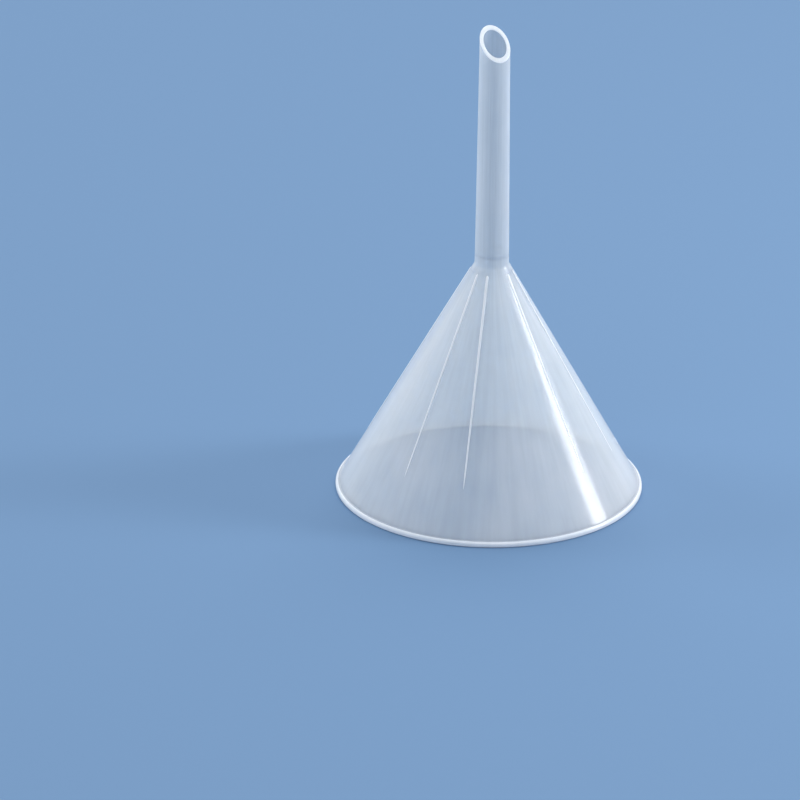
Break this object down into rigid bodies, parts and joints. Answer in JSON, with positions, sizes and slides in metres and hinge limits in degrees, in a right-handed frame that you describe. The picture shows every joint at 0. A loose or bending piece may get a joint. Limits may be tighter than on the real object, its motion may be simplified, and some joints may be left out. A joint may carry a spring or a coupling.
{
  "type": "laboratory filter funnel",
  "caption": "Conical translucent plastic filter funnel with a rounded rim lip, low vent ribs outside the cone and a long slant-cut stem, standing inverted on its rim.",
  "frame": {"origin": "middle of the rim's flat face, on the surface that the funnel stands on", "axes": "+Z along the funnel's axis from the mouth to the stem's tip; +X to the right and -Y towards the viewer, with the stem's slant cut facing -Y and a little towards +X"},
  "size_m": [0.1, 0.1, 0.1558],
  "materials": {
    "polypropylene": "milky translucent, smooth"
  },
  "bodies": {
    "root": {"rim_lip": "polypropylene", "cone_wall": "polypropylene", "neck": "polypropylene", "stem": "polypropylene", "vent_rib_1": "polypropylene", "vent_rib_2": "polypropylene", "vent_rib_3": "polypropylene", "vent_rib_4": "polypropylene", "vent_rib_5": "polypropylene", "vent_rib_6": "polypropylene", "vent_rib_7": "polypropylene", "vent_rib_8": "polypropylene"}
  },
  "joints": []
}
